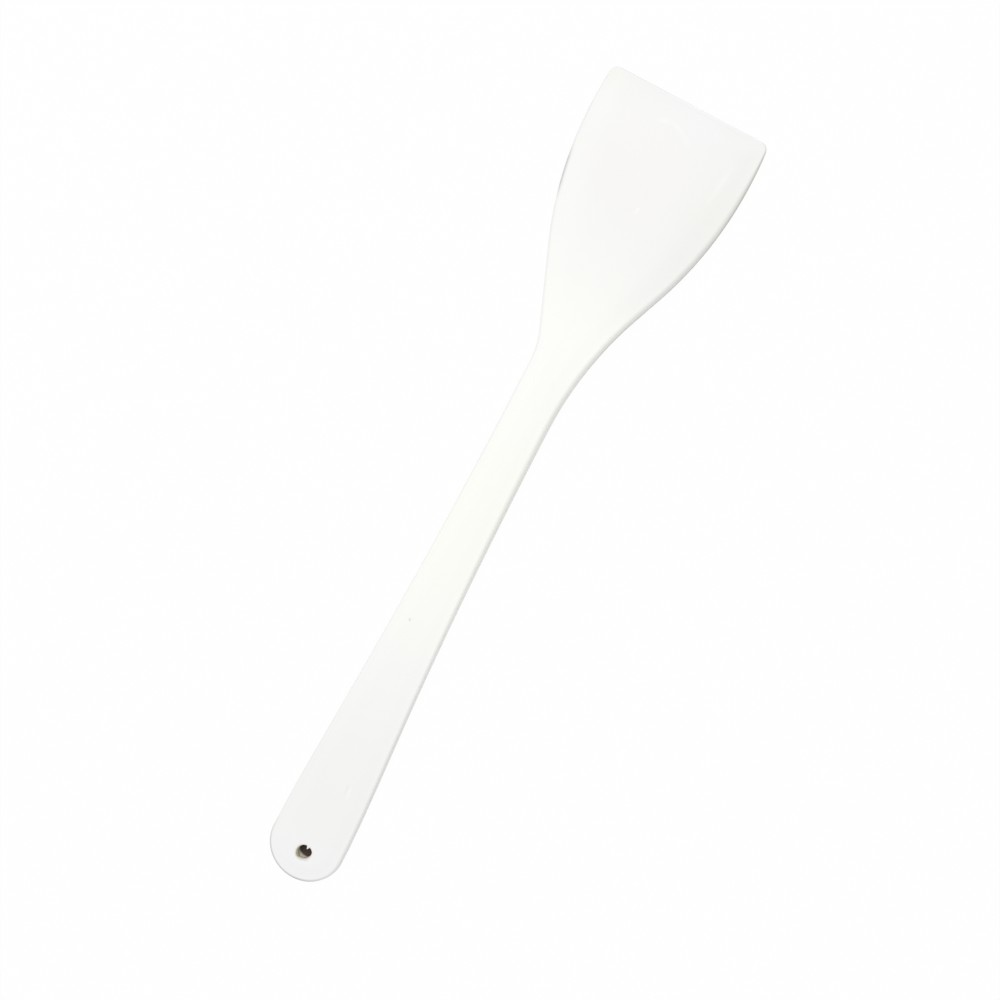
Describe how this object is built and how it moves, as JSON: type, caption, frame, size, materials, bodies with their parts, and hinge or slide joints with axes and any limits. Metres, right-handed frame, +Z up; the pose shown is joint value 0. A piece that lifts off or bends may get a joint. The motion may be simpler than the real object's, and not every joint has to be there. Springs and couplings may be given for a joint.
{
  "type": "plastic spatula",
  "caption": "Flat one-piece plastic spatula: tapering handle with a hang hole in its rounded end, flared blade thinning to a square front edge, for turning and lifting food.",
  "frame": {"origin": "on the flat underside, at the middle of the tool's length and width", "axes": "+X along the tool from the handle's end to the blade's front edge, +Y to the tool's left, +Z up out of its top face"},
  "size_m": [0.3, 0.0618, 0.005],
  "materials": {
    "white_plastic": "moulded satin"
  },
  "bodies": {
    "root": {"spatula": "white_plastic"}
  },
  "joints": []
}
